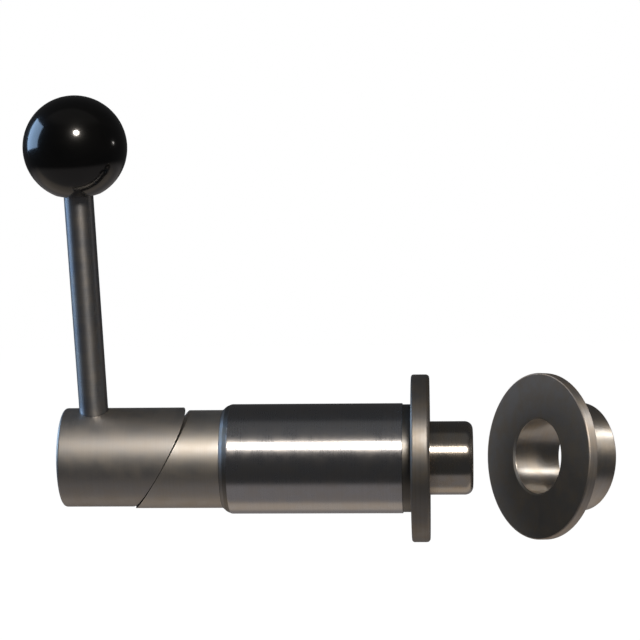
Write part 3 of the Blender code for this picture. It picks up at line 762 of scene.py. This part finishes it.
def build_bushes():
    outer, inner = CAM_BORE_R - FIT, STEM_R + FIT
    front = -BODY_L + PLUG_L - 0.4 * MM
    rear = CAM_MEAN_X + CUT_AMPLITUDE * (CAM_BORE_R / CAM_R) + 0.8 * MM
    ends = [(rear, inner, 0.3 * MM), (rear, outer, 0.4 * MM), (front, outer, 0.4 * MM), (front, inner, 0.3 * MM)]
    make(
        "stem_guide_bush_finished", lathe(spaced(rounded(ends, 4), 3 * MM), 160), bronze,
        "housing", ["stem_guide_bush"],
    )
    outer, inner = CAP_BORE_R - FIT, STEM_R + FIT
    rear = CAP_RECESS_X + 0.2 * MM
    front = CAP_MEAN_X - CUT_AMPLITUDE * (CAP_BORE_R / CAM_R) - 0.8 * MM
    ends = [(rear, inner, 0.3 * MM), (rear, outer, 0.4 * MM), (front, outer, 0.4 * MM), (front, inner, 0.3 * MM)]
    make(
        "cap_bush_finished", lathe(spaced(rounded(ends, 4), 3 * MM), 160), bronze,
        "cam_handle", ["cap_bush"],
    )


def build_set_screws():
    r = CAM_SCREW_R - FIT
    foot, head = 13.3 * MM, BODY_R - 0.35 * MM
    socket = 1.25 * MM
    for index, azimuth in enumerate(CAM_SCREW_AZ, 1):
        profile = [
            (foot + 0.5 * MM, 0.0),
            (foot, r - 1.0 * MM),
            (foot, r - 0.8 * MM),
            (foot + 0.7 * MM, r),
        ]
        # thread ridges down to the point
        crests = 9
        length = head - 0.35 * MM - (foot + 0.7 * MM)
        for k in range(crests):
            x = foot + 0.7 * MM + length * (k + 0.5) / crests
            profile += [(x - 0.1 * MM, r - 0.16 * MM), (x + 0.14 * MM, r)]
        profile += [
            (head - 0.3 * MM, r),
            (head, r - 0.3 * MM),
            (head, socket + 0.45 * MM),
            (head - 0.18 * MM, socket),
            (head - 1.9 * MM, socket),
            (head - 2.3 * MM, 0.0),
        ]
        bm = lathe(profile, 96, radius_at=hexagon([socket]))
        make(
            f"cam_lock_screw_{index}_finished", bm, black_oxide, "housing",
            [f"cam_lock_screw_{index}"], radial_matrix(CAM_SCREW_X, azimuth),
            sharp=25, weighted=False,
        )


def build_retainers():
    def ring(name, node, rear, thickness, inner, outer, mat, slot):
        corners = [
            (rear, inner, 0.15 * MM),
            (rear, outer, 0.2 * MM),
            (rear + thickness, outer, 0.2 * MM),
            (rear + thickness, inner, 0.15 * MM),
        ]
        make(name, lathe(spaced(rounded(corners, 4), 2 * MM), 160), mat, "plunger", [node])

    ring(
        "cap_thrust_washer_finished", "cap_thrust_washer", CAP_RECESS_X - GAP - 1.0 * MM,
        1.0 * MM, STEM_R + 0.25 * MM, 9.2 * MM, bronze, "bronze",
    )
    rear = CAP_RECESS_X - 2 * GAP - 1.0 * MM - 1.6 * MM
    ring(
        "retaining_washer_finished", "retaining_washer", rear, 1.6 * MM, 3.25 * MM, 9.0 * MM,
        black_oxide, "black_steel",
    )
    head_front = rear - GAP
    length, head_r, shank_r, socket = 4.4 * MM, 5.0 * MM, 2.95 * MM, 2.5 * MM
    back = head_front - length
    thread = []
    crests = 12
    start, stop = STEM_END_X + 0.6 * MM, STEM_END_X + 13.6 * MM
    for k in range(crests):
        x = start + (stop - start) * (k + 0.5) / crests
        thread += [(x - 0.25 * MM, shank_r - 0.32 * MM), (x + 0.25 * MM, shank_r)]
    profile = [
        (back + 2.9 * MM, 0.0),
        (back + 2.4 * MM, socket),
        (back + 0.25 * MM, socket),
        (back, socket + 0.55 * MM),
        (back, head_r - 0.55 * MM),
        (back + 0.12 * MM, head_r - 0.3 * MM),
        (back + 0.35 * MM, head_r - 0.06 * MM),
        (back + 0.6 * MM, head_r),
        (head_front - 0.5 * MM, head_r),
        (head_front - 0.2 * MM, head_r - 0.12 * MM),
        (head_front, head_r - 0.2 * MM),
        (head_front, shank_r),
        (STEM_END_X + 0.3 * MM, shank_r),
        *thread,
        (STEM_END_X + 14.0 * MM, shank_r),
        (STEM_END_X + 14.8 * MM, shank_r - 0.7 * MM),
        (STEM_END_X + 14.8 * MM, 0.0),
    ]
    teeth = 40
    hexed = hexagon([socket])

    def shape(x, r, a):
        if abs(r - head_r) < 1e-7:       # the knurl round the head
            return r - 0.16 * MM * (0.5 + 0.5 * math.cos(teeth * a))
        return hexed(x, r, a)

    bm = lathe(profile, 240, radius_at=shape)
    make(
        "retaining_screw_finished", bm, black_oxide, "plunger", ["retaining_screw"],
        sharp=28, weighted=False,
    )


def build_spring():
    """Closed and ground end turns, round wire."""
    front = POCKET_X - GAP - WIRE_R
    rear = -BODY_L + PLUG_L + 1.8 * MM + 2 * GAP + WIRE_R
    per_turn, sides, dead = 48, 14, 1.0
    total = int(COIL_TURNS * per_turn)
    closed = WIRE_R * 2 * 1.06
    span = (front - rear) - 2 * closed * dead

    def travel(turn):
        if turn <= dead:
            return closed * turn
        if turn >= COIL_TURNS - dead:
            return closed * dead + span + closed * (turn - COIL_TURNS + dead)
        return closed * dead + span * (turn - dead) / (COIL_TURNS - 2 * dead)

    points = []
    for k in range(total + 1):
        turn = k / per_turn
        a = 2 * math.pi * turn
        points.append(Vector((rear + travel(turn), COIL_R * math.cos(a), COIL_R * math.sin(a))))
    bm = bmesh.new()
    rings = []
    low, high = rear - WIRE_R + 0.05 * MM, front + WIRE_R - 0.05 * MM
    for k, p in enumerate(points):
        tangent = (points[min(k + 1, total)] - points[max(k - 1, 0)]).normalized()
        out = Vector((0.0, p.y, p.z)).normalized()
        side = tangent.cross(out).normalized()
        out = side.cross(tangent).normalized()
        ring = []
        for i in range(sides):
            a = 2 * math.pi * i / sides
            v = p + (out * math.cos(a) + side * math.sin(a)) * (WIRE_R * 0.995)
            v.x = min(max(v.x, low), high)
            ring.append(bm.verts.new(v))
        rings.append(ring)
    for a, b in zip(rings, rings[1:]):
        for i in range(sides):
            j = (i + 1) % sides
            bm.faces.new((a[i], a[j], b[j], b[i]))
    bm.faces.new(rings[0])
    bm.faces.new(list(reversed(rings[-1])))
    bmesh.ops.recalc_face_normals(bm, faces=bm.faces)
    spring = make(
        "compression_spring_finished", bm, spring_wire, "housing", ["compression_spring"],
        weighted=False,
    )
    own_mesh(spring)


# ------------------------------------------------------------------ lever
def build_lever():
    top = BALL_H + 3.6 * MM
    shoulder = BALL_H - BALL_R + 2.6 * MM
    thread_r = 3.9 * MM
    corners = [
        (ROD_FOOT, 0.0, 0.0),
        (ROD_FOOT, ROD_R, 0.5 * MM),
        (shoulder, ROD_R, 0.3 * MM),
        (shoulder, thread_r, 0.0),
        (top, thread_r, 0.4 * MM),
        (top, 0.0, 0.0),
    ]
    bm = lathe(spaced(rounded(corners, 4), 3 * MM), 128)
    make(
        "lever_rod_finished", bm, rod_steel, "cam_handle", ["lever_rod"],
        lever_matrix(),
    )
    seat = BALL_H - BALL_R + 3.1 * MM
    flat = math.sqrt(BALL_R**2 - BALL_FLAT_R**2)
    start = math.acos(-flat / BALL_R)
    steps = 96
    profile = []
    for k in range(steps + 1):
        a = start * (1 - k / steps)
        profile.append((BALL_H + BALL_R * math.cos(a), BALL_R * math.sin(a)))
    profile[-1] = (BALL_H + BALL_R, 0.0)
    # a softened edge round the flat under the ball
    profile[0] = (BALL_H - flat, BALL_FLAT_R - 0.25 * MM)
    profile += [
        (top + 2.5 * MM, 0.0),
        (top + 2.5 * MM, 6.6 * MM + FIT),
        (seat - 0.1 * MM, 6.6 * MM + FIT),
        (seat - 0.1 * MM, ROD_R + 0.25 * MM),
        (BALL_H - flat + 0.3 * MM, ROD_R + 0.25 * MM),
        (BALL_H - flat, ROD_R + 0.55 * MM),
    ]
    bm = lathe(profile, 192)
    make(
        "ball_knob_finished", bm, knob_black, "cam_handle", ["ball_knob"],
        lever_matrix(), weighted=False, bake=True,
    )


# ------------------------------------------------------------------ receiver
def build_receiver():
    corners = [
        (0.0, REC_BORE_R + REC_LEAD, 0.12 * MM),
        (REC_LEAD, REC_BORE_R, 0.25 * MM),
        (REC_L, REC_BORE_R, 0.45 * MM),
        (REC_L, REC_BARREL_R, 1.0 * MM),
        (REC_FLANGE_T, REC_BARREL_R, 0.2 * MM),
        (REC_FLANGE_T, REC_FLANGE_R, 0.5 * MM),
        (0.0, REC_FLANGE_R, 0.5 * MM),
    ]

    def slots(x, r):
        if r < REC_BORE_R + 0.05 * MM and REC_LEAD * 0.8 < x < REC_L - 0.3 * MM:
            return 1                                   # bore
        if x < REC_LEAD and r < REC_FLANGE_R - 0.45 * MM:
            return 0                                   # face and lead-in
        if r > REC_BARREL_R + 0.5 * MM and x < REC_FLANGE_T - 0.2 * MM:
            return 2                                   # rim
        return 1

    bm = lathe(spaced(rounded(corners, 6), 2.0 * MM), 320, slots)
    make(
        "receiver_bushing_finished", bm, [receiver_face, receiver_bright, receiver_rim],
        "receiver", ["receiver_bushing"], receiver_matrix(), bake=True,
    )


# ------------------------------------------------------------------ stage, light, camera
def build_stage():
    floor_z = -48.0 * MM          # below the knob when the lever is swung right over
    bm = bmesh.new()
    bmesh.ops.create_circle(bm, cap_ends=True, segments=96, radius=7.0)
    mesh = bpy.data.meshes.new("floor")
    bm.to_mesh(mesh)
    bm.free()
    mesh.materials.append(plain_stage("pale_floor", (1.0, 1.0, 1.0), 1.0, 0.06))
    floor = bpy.data.objects.new("floor", mesh)
    floor.location.z = floor_z
    bpy.context.scene.collection.objects.link(floor)
    floor.visible_glossy = False
    floor.visible_diffuse = False
    bm = bmesh.new()
    bmesh.ops.create_uvsphere(bm, u_segments=64, v_segments=32, radius=6.5)
    mesh = bpy.data.meshes.new("backdrop")
    bm.to_mesh(mesh)
    bm.free()
    mesh.materials.append(plain_stage("pale_backdrop", (1.0, 1.0, 1.0), 1.0))
    mesh.shade_smooth()
    dome = bpy.data.objects.new("backdrop", mesh)
    bpy.context.scene.collection.objects.link(dome)
    for flag in ("visible_glossy", "visible_diffuse", "visible_shadow", "visible_transmission"):
        setattr(dome, flag, False)


def build_world():
    """Dim surroundings: a brownish ground below, a dim ceiling in front, the rest dark."""
    world = bpy.data.worlds.new("studio")
    bpy.context.scene.world = world
    world.use_nodes = True
    tree = world.node_tree
    tree.nodes.clear()
    g = Graph.__new__(Graph)
    g.tree = tree
    coords = g.node("ShaderNodeTexCoord").outputs["Generated"]
    split = g.node("ShaderNodeSeparateXYZ", {0: coords})
    z, y = split.outputs["Z"], split.outputs["Y"]
    below = g.ramp(g.math("SUBTRACT", z, g.math("MULTIPLY", y, 0.41)), -0.45, -0.60)
    behind_below = g.math("MULTIPLY", g.ramp(z, -0.35, -0.6), g.ramp(y, 0.12, 0.3))
    behind_below = g.math("MULTIPLY", behind_below, g.ramp(y, 0.80, 0.58))
    above_front = g.math("MULTIPLY", g.ramp(z, 0.60, 0.85), g.ramp(y, 0.06, -0.1))
    colour = g.mix(below, (0.042, 0.042, 0.043), (0.235, 0.219, 0.217))
    colour = g.mix(behind_below, colour, (0.49, 0.425, 0.365))
    colour = g.mix(above_front, colour, (0.108, 0.106, 0.104))
    shade = g.node("ShaderNodeBackground", {"Color": colour, "Strength": 1.0})
    out = g.node("ShaderNodeOutputWorld")
    g.put(out.inputs["Surface"], shade.outputs[0])


def area_light(name, location, target, size, colour, radiance, shape="RECTANGLE"):
    """An area light of a given radiance, so that its reflection is as bright as asked."""
    data = bpy.data.lights.new(name, "AREA")
    data.shape = shape
    data.size = size[0]
    if shape == "RECTANGLE":
        data.size_y = size[1]
        area = size[0] * size[1]
    else:
        area = math.pi * (size[0] / 2) ** 2
    data.color = colour
    data.energy = radiance * area * math.pi
    obj = bpy.data.objects.new(name, data)
    bpy.context.scene.collection.objects.link(obj)
    obj.location = location
    look = Vector(target) - Vector(location)
    obj.rotation_euler = look.to_track_quat("-Z", "Y").to_euler()
    obj.visible_camera = False
    return obj


def build_lights():
    ball = Vector((-0.1115, -0.0276, 0.1068))
    key_dir = Vector((0.215, -0.857, 0.45)).normalized()
    area_light("key_lamp", ball + key_dir * 1.6, (0, 0, 0), (0.30,), (1.0, 0.92, 0.83), 90.0, "DISK")
    # a tall window to the left, a little behind the object
    window_dir = Vector((-0.935, 0.12, 0.30)).normalized()
    window = area_light(
        "window", ball + window_dir * 1.8, ball, (1.25, 1.15), (0.43, 0.66, 1.0), 5.2
    )
    side_dir = Vector((0.963, 0.236, 0.132)).normalized()
    # a softbox high on the right, for the bushing alone
    box = area_light(
        "receiver_softbox", REC_FACE + Vector((0.816, -0.05, 0.589)).normalized() * 1.5,
        REC_FACE, (0.30, 0.30), (1.0, 0.96, 0.90), 14.0,
    )
    group = bpy.data.collections.new("receiver_lit")
    group.objects.link(bpy.data.objects["receiver_bushing_finished"])
    box.light_linking.receiver_collection = group
    # the bushing sees the window through white curtains: a neutral light instead
    rest = bpy.data.collections.new("receiver_unlit")
    rest.objects.link(bpy.data.objects["receiver_bushing_finished"])
    rest.collection_objects[0].light_linking.link_state = "EXCLUDE"
    window.light_linking.receiver_collection = rest
    curtain = area_light(
        "window_curtain", ball + window_dir * 1.8, ball, (1.25, 1.15), (1.0, 0.98, 1.0), 1.7
    )
    curtain.light_linking.receiver_collection = group
    area_light("side_lamp", ball + side_dir * 1.6, (0, 0, 0), (0.12,), (1.0, 0.95, 0.9), 9.0, "DISK")


def build_camera():
    data = bpy.data.cameras.new("camera")
    data.sensor_width = 36.0
    data.lens = 102.83
    data.clip_start, data.clip_end = 0.01, 50.0
    cam = bpy.data.objects.new("camera", data)
    bpy.context.scene.collection.objects.link(cam)
    look = Vector((-0.0654, 0.99786, 0.0006)).normalized()
    up = Vector((0.00925, 0.0, 0.99996))
    right = look.cross(up).normalized()
    up = right.cross(look)
    rot = Matrix((right, up, -look)).transposed().to_4x4()
    cam.matrix_world = Matrix.Translation(Vector((10.19, -634.69, 47.78)) * MM) @ rot
    bpy.context.scene.camera = cam
    scene = bpy.context.scene
    scene.view_settings.view_transform = "Standard"


build_camera()
build_stage()
build_world()
build_housing()
build_pin_bush()
build_pin()
build_stem()
build_fixed_cam()
build_cap()
build_bushes()
build_set_screws()
build_retainers()
build_spring()
build_lever()
build_receiver()
build_lights()

for node, mat in (
    ("spring_seat_washer", ground),
    ("stem_roll_pin", black_oxide),
    ("knob_insert", brass),
):
    mesh = frame["nodes"][node].data
    mesh.materials.clear()
    mesh.materials.append(mat)
